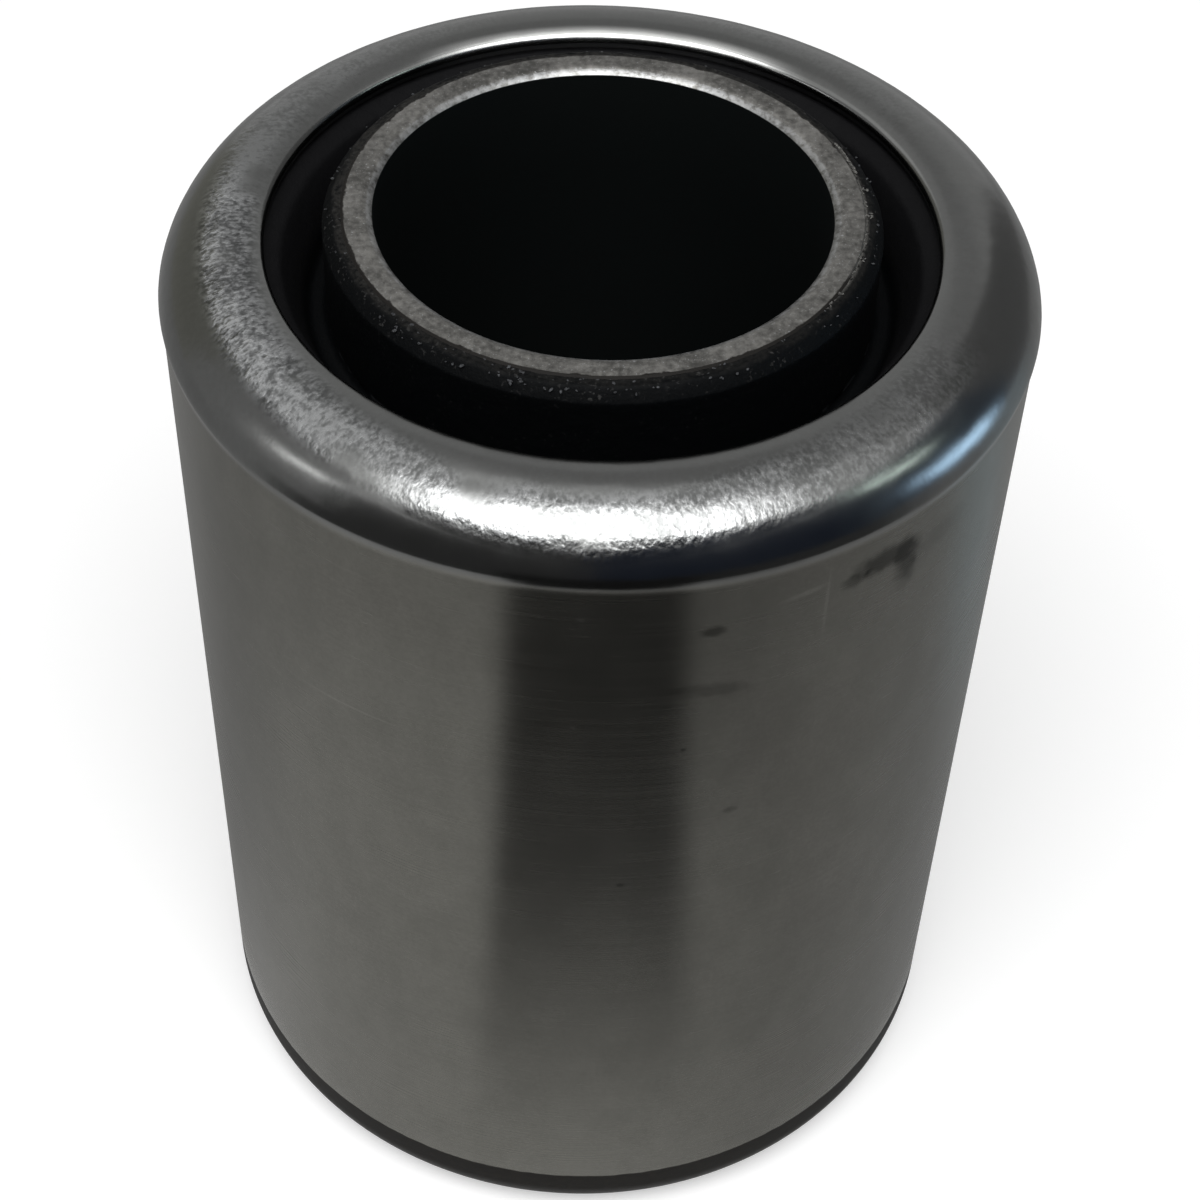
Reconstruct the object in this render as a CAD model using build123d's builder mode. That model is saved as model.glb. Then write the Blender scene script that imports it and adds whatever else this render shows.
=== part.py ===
from build123d import *
from math import cos, radians, sin
import os

# Rubber-metal pivot bush, in millimetres and degrees.
# The bush stands on one end of its sleeve at z = 0 and its axis is Z.
# The shell's upper end is rolled over in a wide arc, and its lower end is turned in square.
# Diameters grow from the bore outwards: sleeve wall, rubber, shell wall.

# Inner sleeve: the steel tube that takes the pivot bolt
bore_diameter = 31.0
sleeve_wall = 2.5
sleeve_length = 80.0
bore_chamfer = 0.4
sleeve_chamfer = 0.6

# Outer shell: a steel tube with both ends turned inwards; the sleeve stands proud of each end
shell_wall = 3.0
sleeve_proud_above = 1.6
sleeve_proud_below = 0.8
roll_radius = 5.2
roll_past_crown = 25.0
lip_edge_round = 0.6
flange_bend_inside = 0.4
flange_width = 6.9

# Rubber: moulded and bonded between the two tubes, with a round groove in each end
rubber_thickness = 9.0
collar_thickness = 0.9
collar_edge_drop = 1.1
collar_edge_round = 0.3
chamfer_left_bare = 0.1
lip_left_bare = 1.2
shoulder_width = 1.3
shoulder_fall = 0.7
shoulder_round = 0.8
groove_depth = 6.4
groove_floor = 1.2
groove_round = 0.5

# Radii and heights that follow from the sizes above
bore_radius = bore_diameter / 2
sleeve_outside = bore_radius + sleeve_wall
shell_inside = sleeve_outside + rubber_thickness
shell_outside = shell_inside + shell_wall
shell_top = sleeve_length - sleeve_proud_above
shell_bottom = sleeve_proud_below
roll_centre = (shell_outside - roll_radius, shell_top - roll_radius)
roll_end = 90 + roll_past_crown
flange_inside = shell_outside - flange_width
flange_face = shell_bottom + shell_wall
bend_centre = (shell_inside - flange_bend_inside, flange_face + flange_bend_inside)


def on_cut_face(distance):
    """Point on the shell's cut end, at a distance from the roll's centre."""
    across = roll_centre[0] + distance * cos(radians(roll_end))
    up = roll_centre[1] + distance * sin(radians(roll_end))
    return (across, up)


# Inner sleeve: a straight tube, turned off square, with its edges broken
with BuildPart() as inner_sleeve:
    with BuildSketch(Plane.XY):
        Circle(sleeve_outside)
        Circle(bore_radius, mode=Mode.SUBTRACT)
    extrude(amount=sleeve_length)
    end_edges = inner_sleeve.edges().filter_by(GeomType.CIRCLE).group_by(SortBy.RADIUS)
    chamfer(end_edges[-1], length=sleeve_chamfer)
    chamfer(end_edges[0], length=bore_chamfer)
inner_sleeve.part.label = "inner_sleeve"

# Outer shell: the wall runs up, over the roll's crown and back down to its cut end;
# below it bends square into a flat flange of the same thickness
with BuildPart() as outer_shell:
    with BuildSketch(Plane.XZ) as shell_section:
        with BuildLine():
            Line((shell_outside, bend_centre[1]), (shell_outside, roll_centre[1]))
            CenterArc(roll_centre, roll_radius, 0, roll_end)
            Line(on_cut_face(roll_radius), on_cut_face(roll_radius - shell_wall))
            CenterArc(roll_centre, roll_radius - shell_wall, 0, roll_end)
            Line((shell_inside, roll_centre[1]), (shell_inside, bend_centre[1]))
            CenterArc(bend_centre, flange_bend_inside, 0, -90)
            Polyline(
                (bend_centre[0], flange_face),
                (flange_inside, flange_face),
                (flange_inside, shell_bottom),
                (bend_centre[0], shell_bottom),
            )
            CenterArc(bend_centre, flange_bend_inside + shell_wall, 0, -90)
        make_face()
        edge_corners = [on_cut_face(roll_radius), (flange_inside, shell_bottom)]
        fillet([shell_section.vertices().sort_by_distance(c)[0] for c in edge_corners], radius=lip_edge_round)
    revolve(axis=Axis.Z)
outer_shell.part.label = "outer_shell"

# Rubber: each end runs from the sleeve's chamfer over a thin collar, down into the groove,
# up the outer slope to a shoulder and out to the shell's edge
collar_outside = sleeve_outside + collar_thickness
groove_bottom = sleeve_proud_above + groove_depth
lip_joint = on_cut_face(roll_radius - lip_left_bare)
flange_joint = (flange_inside, shell_bottom + lip_left_bare)


def rubber_end(joint_radius, joint_depth):
    """Corners of one rubber end as radius and depth below the sleeve's end face."""
    return [
        (sleeve_outside, sleeve_chamfer),
        (sleeve_outside - sleeve_chamfer + chamfer_left_bare, chamfer_left_bare),
        (collar_outside, collar_edge_drop),
        (collar_outside, groove_bottom),
        (collar_outside + groove_floor, groove_bottom),
        (joint_radius - shoulder_width, joint_depth + shoulder_fall),
        (joint_radius, joint_depth),
    ]


upper_corners = rubber_end(lip_joint[0], sleeve_length - lip_joint[1])
upper_end = [(across, sleeve_length - depth) for across, depth in upper_corners]
lower_end = rubber_end(*flange_joint)

with BuildPart() as rubber_body:
    with BuildSketch(Plane.XZ) as rubber_section:
        with BuildLine():
            Polyline(*upper_end)
            Line(lip_joint, on_cut_face(roll_radius - shell_wall))
            CenterArc(roll_centre, roll_radius - shell_wall, 0, roll_end)
            Line((shell_inside, roll_centre[1]), (shell_inside, bend_centre[1]))
            CenterArc(bend_centre, flange_bend_inside, 0, -90)
            Polyline((bend_centre[0], flange_face), (flange_inside, flange_face), flange_joint)
            Polyline(*lower_end)
            Line(lower_end[0], upper_end[0])
        make_face()
        section_corners = rubber_section.vertices()
        for corners in (upper_end, lower_end):
            collar_edge, groove_inner, groove_outer, shoulder = (
                section_corners.sort_by_distance(point)[0] for point in corners[2:6]
            )
            fillet(collar_edge, radius=collar_edge_round)
            fillet([groove_inner, groove_outer], radius=groove_round)
            fillet(shoulder, radius=shoulder_round)
    revolve(axis=Axis.Z)
rubber_body.part.label = "rubber_body"

os.makedirs("parts", exist_ok=True)
export_step(inner_sleeve.part, "parts/inner_sleeve.step")
export_step(outer_shell.part, "parts/outer_shell.step")
export_step(rubber_body.part, "parts/rubber_body.step")
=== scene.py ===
"""Looks of a rubber-metal pivot bush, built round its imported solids. Metres, +Z up along the bore."""

import logging
import math
from dataclasses import dataclass, field
from enum import Enum
from typing import Any

import bpy
from mathutils import Matrix, Vector


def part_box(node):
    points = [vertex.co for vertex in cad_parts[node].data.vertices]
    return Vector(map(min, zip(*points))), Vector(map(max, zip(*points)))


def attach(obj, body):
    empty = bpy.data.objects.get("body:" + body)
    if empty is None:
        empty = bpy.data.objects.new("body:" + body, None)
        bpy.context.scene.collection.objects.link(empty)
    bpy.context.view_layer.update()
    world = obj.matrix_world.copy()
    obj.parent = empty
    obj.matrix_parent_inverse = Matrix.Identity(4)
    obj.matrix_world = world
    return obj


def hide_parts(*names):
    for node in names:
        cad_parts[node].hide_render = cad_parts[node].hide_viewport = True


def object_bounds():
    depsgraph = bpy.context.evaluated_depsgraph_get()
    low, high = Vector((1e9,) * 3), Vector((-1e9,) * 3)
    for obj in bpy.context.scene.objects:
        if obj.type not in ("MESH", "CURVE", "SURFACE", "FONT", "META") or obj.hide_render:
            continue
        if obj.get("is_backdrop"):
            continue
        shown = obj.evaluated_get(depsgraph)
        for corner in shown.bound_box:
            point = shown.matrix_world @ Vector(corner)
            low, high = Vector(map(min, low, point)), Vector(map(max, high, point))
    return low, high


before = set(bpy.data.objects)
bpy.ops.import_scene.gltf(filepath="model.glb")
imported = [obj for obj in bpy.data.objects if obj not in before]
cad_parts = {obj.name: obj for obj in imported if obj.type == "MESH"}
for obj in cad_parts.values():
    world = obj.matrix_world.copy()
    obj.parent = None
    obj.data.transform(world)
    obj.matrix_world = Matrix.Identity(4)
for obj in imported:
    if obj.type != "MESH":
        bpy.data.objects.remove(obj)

LOG = logging.getLogger("bush")
MM = 0.001
PER_METRE = 1 / MM

Colour = tuple[float, float, float]
Point = tuple[float, float]


class Body(Enum):
    """The bodies that pieces ride on."""

    WHOLE = "root"


class Slot(Enum):
    """Names of material slots."""

    SHELL = "shell_steel"
    SLEEVE = "sleeve_steel"
    RUBBER = "rubber"


class Lit(Enum):
    """Which rays meet a studio card."""

    REFLECTIONS = "reflections"
    EVERYTHING = "everything"


# Node trees


class Field:
    """One value of a node tree; arithmetic on it adds Math nodes."""

    def __init__(self, graph: "Graph", socket: bpy.types.NodeSocket) -> None:
        """Keep the socket and the graph that it belongs to."""
        self.graph = graph
        self.socket = socket

    def _math(self, operation: str, *values: Any) -> "Field":
        """Add a Math node on the values and return its result."""
        return self.graph.field("ShaderNodeMath", {"operation": operation}, dict(enumerate(values)))

    def __add__(self, other: Any) -> "Field":
        """Sum."""
        return self._math("ADD", self, other)

    def __radd__(self, other: Any) -> "Field":
        """Sum with a number on the left."""
        return self._math("ADD", other, self)

    def __sub__(self, other: Any) -> "Field":
        """Difference."""
        return self._math("SUBTRACT", self, other)

    def __rsub__(self, other: Any) -> "Field":
        """Difference from a number on the left."""
        return self._math("SUBTRACT", other, self)

    def __mul__(self, other: Any) -> "Field":
        """Product."""
        return self._math("MULTIPLY", self, other)

    def __rmul__(self, other: Any) -> "Field":
        """Product with a number on the left."""
        return self._math("MULTIPLY", other, self)

    def __truediv__(self, other: Any) -> "Field":
        """Quotient."""
        return self._math("DIVIDE", self, other)

    def __rtruediv__(self, other: Any) -> "Field":
        """Quotient with a number on top."""
        return self._math("DIVIDE", other, self)

    def __pow__(self, other: Any) -> "Field":
        """Power."""
        return self._math("POWER", self, other)

    def __abs__(self) -> "Field":
        """Size without its sign."""
        return self._math("ABSOLUTE", self)

    def larger(self, other: Any) -> "Field":
        """The larger of two values."""
        return self._math("MAXIMUM", self, other)

    def rise(self, low: float, high: float) -> "Field":
        """Rise smoothly from 0 at low to 1 at high; low may be above high, which makes it fall.

        Args:
            low: Value at which the result is 0.
            high: Value at which the result is 1.

        Returns:
            The smooth step between them.
        """
        if low < high:
            ends = (low, high, 0.0, 1.0)
        else:
            ends = (high, low, 1.0, 0.0)
        names = ("From Min", "From Max", "To Min", "To Max")
        inputs = {"Value": self, **dict(zip(names, ends))}
        return self.graph.field("ShaderNodeMapRange", {"interpolation_type": "SMOOTHSTEP"}, inputs, "Result")


class Graph:
    """A node tree under construction."""

    def __init__(self, tree: bpy.types.NodeTree) -> None:
        """Keep the tree."""
        self.tree = tree

    @staticmethod
    def _pick(sockets: Any, key: str | int) -> bpy.types.NodeSocket:
        """Find a socket by number, or the first one in use that has the name."""
        if isinstance(key, int):
            return sockets[key]
        return next(socket for socket in sockets if socket.name == key and socket.enabled)

    def node(self, kind: str, settings: dict[str, Any] | None = None,
             inputs: dict[str | int, Any] | None = None) -> bpy.types.Node:
        """Add a node.

        Args:
            kind: The node's type.
            settings: Properties of the node, set first.
            inputs: Values or fields for its sockets, by name or number.

        Returns:
            The new node.
        """
        made = self.tree.nodes.new(kind)
        for name, value in (settings or {}).items():
            setattr(made, name, value)
        for key, value in (inputs or {}).items():
            socket = self._pick(made.inputs, key)
            if isinstance(value, Field):
                self.tree.links.new(value.socket, socket)
            else:
                socket.default_value = value
        return made

    def field(self, kind: str, settings: dict[str, Any] | None = None,
              inputs: dict[str | int, Any] | None = None, output: str | int = 0) -> Field:
        """Add a node and return one of its outputs.

        Args:
            kind: The node's type.
            settings: Properties of the node.
            inputs: Values or fields for its sockets.
            output: Name or number of the output.

        Returns:
            That output as a field.
        """
        return Field(self, self._pick(self.node(kind, settings, inputs).outputs, output))


class Paint(Graph):
    """The shader of one material, in millimetres of the part's own frame."""

    def __init__(self, name: str) -> None:
        """Start an empty material.

        Args:
            name: The material's name.
        """
        self.material = bpy.data.materials.new(name)
        self.material.use_nodes = True
        super().__init__(self.material.node_tree)
        self.tree.nodes.clear()
        metres = self.field("ShaderNodeTexCoord", output="Object")
        scaled = {0: metres, "Scale": PER_METRE}
        self.place = self.field("ShaderNodeVectorMath", {"operation": "SCALE"}, scaled, "Vector")
        self.x, self.y, self.z = (
            self.field("ShaderNodeSeparateXYZ", None, {0: self.place}, axis) for axis in "XYZ"
        )
        self.radius = (self.x * self.x + self.y * self.y) ** 0.5

    def stretched(self, across: float, along: float) -> Field:
        """Coordinates for a texture, in repeats per millimetre.

        Args:
            across: Repeats per millimetre in X and Y.
            along: Repeats per millimetre in Z.

        Returns:
            The stretched coordinates.
        """
        return self.field("ShaderNodeMapping", None, {"Vector": self.place, "Scale": (across, across, along)})

    def turned_rings(self, rings: float, around: float) -> Field:
        """Coordinates whose pattern runs in circles about the axis, with no seam.

        Args:
            rings: Repeats per millimetre of radius.
            around: Repeats round the circle, as a radius in noise space.

        Returns:
            The coordinates.
        """
        parts = {"X": self.radius * rings, "Y": self.x / self.radius * around,
                 "Z": self.y / self.radius * around}
        return self.field("ShaderNodeCombineXYZ", None, parts)

    def rolled(self, around: float, along: float, centre_mm: Point) -> Field:
        """Coordinates that follow a roll: round the axis, and over the roll from outside to inside.

        Args:
            around: Repeats per millimetre round the axis.
            along: Repeats per millimetre over the roll.
            centre_mm: Radius and height of the roll's centre.

        Returns:
            The coordinates.
        """
        size = around * centre_mm[0]
        parts = {"X": self.x / self.radius * size, "Y": self.y / self.radius * size,
                 "Z": self.turn_about(centre_mm) * along}
        return self.field("ShaderNodeCombineXYZ", None, parts)

    def turn_about(self, centre_mm: Point) -> Field:
        """Angle in degrees about a circle's section: 0 faces outwards, 90 up.

        Args:
            centre_mm: Radius and height of the section's centre.

        Returns:
            The angle.
        """
        out, up = self.radius - centre_mm[0], self.z - centre_mm[1]
        return self.field("ShaderNodeMath", {"operation": "ARCTAN2"}, {0: up, 1: out}) * math.degrees(1.0)

    def spot(self, mark: "Mark", ragged: Field) -> Field:
        """A soft-edged smear on the cylinder.

        Args:
            mark: Its place and size.
            ragged: Noise from 0 to 1 that frays its edge.

        Returns:
            Its strength at each point.
        """
        at, tilt = math.radians(mark.azimuth), math.radians(mark.tilt)
        beside = self.y * math.cos(at) - self.x * math.sin(at)
        facing = (self.x * math.cos(at) + self.y * math.sin(at)).rise(0.0, 1.0)
        above = self.z - mark.height
        along = (beside * math.cos(tilt) + above * math.sin(tilt)) / mark.half_wide
        across = (above * math.cos(tilt) - beside * math.sin(tilt)) / mark.half_tall
        reach = (along * along + across * across) ** 0.5 + (ragged - 0.5) * mark.fray
        return reach.rise(1.2, 0.3) * facing * mark.strength

    def noise(self, where: Field, detail: float = 2.0, roughness: float = 0.5, seed: float = 0.0) -> Field:
        """Smooth noise from 0 to 1.

        Args:
            where: Coordinates, one repeat to a unit.
            detail: Finer layers of the noise.
            roughness: Share that each finer layer keeps.
            seed: Picks one of many like patterns.

        Returns:
            The noise.
        """
        inputs = {"Vector": where, "W": seed, "Scale": 1.0, "Detail": detail, "Roughness": roughness}
        return self.field("ShaderNodeTexNoise", {"noise_dimensions": "4D"}, inputs, "Fac")

    def blend(self, share: Any, first: Any, second: Any) -> Field:
        """Mix two colours.

        Args:
            share: 0 for the first colour, 1 for the second.
            first: A colour or a field.
            second: A colour or a field.

        Returns:
            The mixed colour.
        """
        ends = [c if isinstance(c, Field) else (*c, 1.0) for c in (first, second)]
        inputs = {"Factor": share, "A": ends[0], "B": ends[1]}
        return self.field("ShaderNodeMix", {"data_type": "RGBA"}, inputs, "Result")

    def bump(self, height: Field, depth_mm: float) -> Field:
        """Turn a height into a surface normal.

        Args:
            height: The height, as a share of the relief's depth.
            depth_mm: Depth of the relief in millimetres.

        Returns:
            The normal.
        """
        inputs = {"Strength": 1.0, "Distance": depth_mm * MM, "Height": height}
        return self.field("ShaderNodeBump", None, inputs, "Normal")

    def surface(self, **inputs: Any) -> Field:
        """A Principled surface, whose sockets are given by name with underscores for spaces."""
        named = {name.replace("_", " "): value for name, value in inputs.items()}
        return self.field("ShaderNodeBsdfPrincipled", None, named, "BSDF")

    def finish(self, surface: Field) -> bpy.types.Material:
        """Send a surface to the material's output and return the material."""
        self.node("ShaderNodeOutputMaterial", None, {"Surface": surface})
        return self.material


# Finishes


@dataclass(frozen=True)
class Mark:
    """One smear or worn spot on the cylinder: place in degrees and millimetres, darker above 0."""

    azimuth: float
    height: float
    half_wide: float
    half_tall: float
    strength: float
    tilt: float = 0.0
    fray: float = 0.9


@dataclass(frozen=True)
class ShellSteel:
    """Ground satin steel on the cylinder, grainy rolled steel on the lip, dark scale on the lower bend."""

    ground_light: Colour = (0.236, 0.231, 0.207)
    ground_dark: Colour = (0.180, 0.177, 0.157)
    # Lighter colour of the worn spots, also used for the painted highlight along the seam.
    worn_and_seam_highlight_colour: Colour = (0.40, 0.39, 0.36)
    smear_colour: Colour = (0.026, 0.026, 0.021)
    rolled_light: Colour = (0.38, 0.386, 0.39)
    rolled_dark: Colour = (0.115, 0.118, 0.118)
    rolled_even: Colour = (0.205, 0.208, 0.203)
    # Painted highlight colour for the lip's inner edge at the back.
    far_edge_highlight_colour: Colour = (0.70, 0.705, 0.69)
    scale_colour: Colour = (0.0075, 0.0066, 0.0052)
    ground_roughness: float = 0.26
    rolled_roughness: float = 0.21
    scale_roughness: float = 0.55
    scale_shine: float = 0.12
    brushing: float = 0.75
    quarter_turn: float = 0.25
    line_depth_mm: float = 0.0008
    peel_depth_mm: float = 0.13
    grain_depth_mm: float = 0.040
    scale_depth_mm: float = 0.02
    seam_half_mm: float = 0.45
    scale_half_mm: float = 0.08
    worked_low: Point = (24.0, 36.0)
    worked_high: Point = (80.0, 64.0)
    worked_rise_at_sides: float = 32.0
    left_side: Point = (-0.62, -0.84)
    right_side: Point = (0.2, 0.65)
    # Where the painted edge highlight sits: the turn over the roll, and the share towards the back.
    far_edge_highlight_turn: Point = (99.0, 106.0)
    far_edge_highlight_back: Point = (0.78, 0.95)
    marks: tuple[Mark, ...] = (
        Mark(-51.8, 70.9, 2.6, 1.25, 0.80, -4.0),
        Mark(-47.7, 69.6, 1.35, 2.4, 0.78, 6.0),
        Mark(-56.2, 70.3, 1.2, 0.7, 0.52),
        Mark(-42.0, 69.9, 2.8, 1.3, 0.22, 12.0),
        Mark(-75.0, 69.4, 1.0, 0.55, 0.62),
        Mark(-75.0, 63.9, 3.4, 0.8, 0.34, -8.0),
        Mark(-77.6, 58.4, 0.22, 0.22, 0.55),
        Mark(-70.7, 51.2, 0.7, 0.4, 0.38),
        Mark(-84.6, 44.4, 0.35, 0.25, 0.50),
        Mark(-63.4, 70.9, 1.9, 0.28, -0.30, 6.0),
        Mark(-60.2, 69.2, 0.16, 3.4, -0.24),
        Mark(-91.0, 71.1, 0.24, 0.17, -0.9),
        Mark(-91.5, 61.0, 0.18, 0.15, -0.7),
        Mark(-122.0, 57.2, 4.8, 0.10, -0.22, 3.0),
    )

    def material(self, seam_mm: float, scale_mm: float, roll_centre: Point,
                 roll_radius_mm: float) -> bpy.types.Material:
        """Build the material.

        Args:
            seam_mm: Height at which the grinding ends below the lip.
            scale_mm: Height under which the dark scale is left.
            roll_centre: Radius and height of the roll's centre, in metres.
            roll_radius_mm: Radius of the roll.

        Returns:
            The finished material.
        """
        p = Paint("shell_ground_and_rolled_steel")
        centre = (roll_centre[0] / MM, roll_centre[1] / MM)
        wobble = (p.noise(p.stretched(0.9, 0.9), detail=2.0) - 0.5) * 0.25
        rolled = (p.z + wobble).rise(seam_mm - self.seam_half_mm, seam_mm + self.seam_half_mm)
        scaled = (p.z + wobble).rise(scale_mm + self.scale_half_mm, scale_mm - self.scale_half_mm)
        steel = p.field("ShaderNodeMixShader", None, {
            0: rolled, 1: self._ground(p, seam_mm), 2: self._rolled(p, centre, roll_radius_mm)})
        return p.finish(p.field("ShaderNodeMixShader", None, {0: scaled, 1: steel, 2: self._scale(p)}))

    def _ground(self, p: Paint, seam_mm: float) -> Field:
        """The ground cylinder: fine lines round it, soft cloudy patches, smears, and a painted highlight along
        the seam at the front.

        Args:
            p: The paint of the shell.
            seam_mm: Height at which the grinding ends below the lip.

        Returns:
            The surface.
        """
        lines = p.noise(p.stretched(0.06, 7.0), detail=3.0, roughness=0.65)
        clouds = p.noise(p.stretched(0.09, 0.07), detail=2.0, seed=2.0)
        patches = p.noise(p.stretched(0.35, 0.22), detail=2.0, roughness=0.6, seed=6.0)
        grit = p.noise(p.stretched(3.0, 3.0), detail=1.0, seed=5.0)
        ragged = p.noise(p.stretched(1.1, 1.1), detail=2.0, seed=7.0)
        smears = sum((p.spot(mark, ragged) for mark in self.marks[1:]), p.spot(self.marks[0], ragged))
        # Painted highlight: a thin lighter line along the seam, only on the narrow front that faces the camera.
        seam_highlight = p.z.rise(seam_mm - 0.5, seam_mm - 0.2) * p.y.rise(-28.0, -29.9) * 0.25
        tone = (lines * 0.24 + clouds * 0.30 + patches * 0.26 + grit * 0.20).rise(0.34, 0.66)
        steel = p.blend(tone, self.ground_dark, self.ground_light)
        # worn holds the lighter worn spots and the painted seam highlight.
        worn = p.blend((seam_highlight - smears).larger(0.0), steel, self.worn_and_seam_highlight_colour)
        rough = self.ground_roughness + (lines - 0.5) * 0.10 + (clouds - 0.5) * 0.08
        return p.surface(
            Base_Color=p.blend(smears.larger(0.0), worn, self.smear_colour),
            Metallic=1.0,
            Roughness=rough,
            Anisotropic=self.brushing,
            Anisotropic_Rotation=self.quarter_turn,
            Normal=p.bump(lines + grit * 0.4, self.line_depth_mm),
        )

    def _rolled(self, p: Paint, centre_mm: Point, roll_radius_mm: float) -> Field:
        """The rolled lip: a band of grain on the crown, coarser at the left and fading out at the right, and a
        painted highlight on the inner edge at the back.

        Args:
            p: The paint of the shell.
            centre_mm: Radius and height of the roll's centre.
            roll_radius_mm: Radius of the roll.

        Returns:
            The surface.
        """
        turn = p.turn_about(centre_mm)
        length = math.radians(1.0) * roll_radius_mm
        to_right = p.x / p.radius
        to_side = abs(to_right)
        side_rise = to_side * self.worked_rise_at_sides
        left = to_right.rise(*self.left_side)
        crown = (turn - side_rise).rise(*self.worked_low) * (turn - side_rise).rise(*self.worked_high)
        worn_low = turn.rise(54.0, 42.0) * 0.45
        worked = to_right.rise(0.95, 0.80) * (p.y.rise(8.0, -6.0) * 0.7 + 0.3).larger(left * p.y.rise(9.0, 1.0))
        patch = p.noise(p.rolled(0.16, 0.2 * length, centre_mm), detail=2.0, roughness=0.6, seed=4.0)
        rough_zone = crown * worked * patch.rise(0.30, 0.50)
        peel = p.noise(p.rolled(2.0, 1.25 * length, centre_mm), detail=2.0, roughness=0.5, seed=1.0)
        grain = p.noise(p.rolled(3.6, 2.7 * length, centre_mm), detail=2.0, roughness=0.5, seed=3.0)
        swell = p.noise(p.stretched(0.3, 0.3), detail=1.0, seed=9.0)
        tone = (peel * 0.35 + grain * 0.65 + (swell - 0.5) * 0.4).rise(0.36, 0.62)
        even = p.blend(swell.rise(0.35, 0.65) * 0.12, self.rolled_even, self.rolled_dark)
        speckled = p.blend(tone, self.rolled_dark, self.rolled_light)
        # Painted highlight: the lip's inner edge is lightened only at the back, where it catches the light.
        far_edge_highlight = turn.rise(*self.far_edge_highlight_turn) * (p.y / p.radius).rise(*self.far_edge_highlight_back)
        even = p.blend(far_edge_highlight, even, self.far_edge_highlight_colour)
        share = rough_zone * (0.94 - to_right.rise(*self.right_side) * 0.45) + 0.06
        coarse_mm = peel * (left * 0.7 + 0.3 + worn_low) * self.peel_depth_mm
        fine_mm = grain * (left * 0.5 + 0.5 + worn_low) * self.grain_depth_mm
        return p.surface(
            Base_Color=p.blend(share * (left * 0.35 + 0.65), even, speckled),
            Metallic=1.0,
            Roughness=(self.rolled_roughness + rough_zone * 0.04 + (grain - 0.5) * 0.22 * share
                       + (swell - 0.5) * 0.10),
            Normal=p.bump((coarse_mm + fine_mm) * share, 1.0),
        )

    def _scale(self, p: Paint) -> Field:
        """Dark scale left on the lower bend, which nothing has ground off.

        Args:
            p: The paint of the shell.

        Returns:
            The surface.
        """
        crust = p.noise(p.stretched(1.8, 1.8), detail=3.0, roughness=0.6, seed=8.0)
        lighter = tuple(c * 1.8 for c in self.scale_colour)
        return p.surface(
            Base_Color=p.blend(crust.rise(0.4, 0.7), self.scale_colour, lighter),
            Metallic=0.0,
            Roughness=self.scale_roughness + (crust - 0.5) * 0.2,
            Specular_IOR_Level=self.scale_shine,
            Normal=p.bump(crust, self.scale_depth_mm),
        )


@dataclass(frozen=True)
class SleeveSteel:
    """Machined end faces with smeared rubber at their rim, and a dull bore painted near black, partly as shade
    of the deep hole.
    """

    face_light: Colour = (0.29, 0.284, 0.268)
    face_dark: Colour = (0.10, 0.098, 0.092)
    edge_colour: Colour = (0.42, 0.43, 0.44)
    # Near-black bore colour: a dull dark surface with the shade deep in the bore painted in.
    bore_dull_and_shade_colour: Colour = (0.0032, 0.0042, 0.0042)
    smear_colour: Colour = (0.012, 0.011, 0.010)
    face_roughness: float = 0.42
    bore_roughness: float = 0.6
    dull_shine: float = 0.09
    bare_mm: float = 0.36
    grain_depth_mm: float = 0.035

    def material(self, bore_mm: float, chamfer_mm: float, rim_mm: float) -> bpy.types.Material:
        """Build the material.

        Args:
            bore_mm: Radius of the bore.
            chamfer_mm: Width of the chamfer at its edge.
            rim_mm: Radius at which the rubber starts.

        Returns:
            The finished material.
        """
        p = Paint("sleeve_machined_steel")
        grain = p.noise(p.stretched(1.9, 1.9), detail=4.0, roughness=0.65)
        glitter = p.noise(p.stretched(6.5, 6.5), detail=1.0, seed=4.0)
        marks = p.noise(p.turned_rings(5.0, 6.0), detail=3.0, seed=1.0)
        ragged = p.noise(p.stretched(0.9, 0.9), detail=4.0, roughness=0.65, seed=2.0)
        cloud = p.noise(p.stretched(0.25, 0.25), detail=3.0, seed=3.0)
        right = (p.x / p.radius).rise(0.90, 0.97)
        reach = p.radius - right * self.bare_mm
        smear = (reach + (ragged - 0.5) * 0.8 + (cloud - 0.5) * 0.5).rise(rim_mm - 0.12, rim_mm + 0.02)
        smear = smear.larger(p.radius.rise(rim_mm - 0.09, rim_mm - 0.02) * (1.0 - right))
        in_bore = p.radius.rise(bore_mm + 0.05, bore_mm + 0.02)
        edge = p.radius.rise(bore_mm + chamfer_mm + 0.12, bore_mm + chamfer_mm - 0.05)
        tone = (grain * 0.5 + marks * 0.05 + cloud * 0.45).rise(0.36, 0.64)
        specks = glitter.rise(0.62, 0.70) * grain.rise(0.4, 0.6)
        plain = p.blend(tone, self.face_dark, self.face_light)
        steel = p.surface(
            Base_Color=p.blend((edge * grain.rise(0.3, 0.6) * 0.5).larger(specks), plain, self.edge_colour),
            Metallic=1.0,
            Roughness=self.face_roughness + (grain - 0.5) * 0.3,
            Normal=p.bump(grain, self.grain_depth_mm),
        )
        # The bore's colour is partly painted shade of the deep hole.
        dull = p.surface(
            Base_Color=p.blend(in_bore, self.smear_colour, self.bore_dull_and_shade_colour),
            Metallic=0.0,
            Roughness=self.bore_roughness,
            Specular_IOR_Level=self.dull_shine,
        )
        return p.finish(p.field("ShaderNodeMixShader", None, {0: smear.larger(in_bore), 1: steel, 2: dull}))


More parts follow.
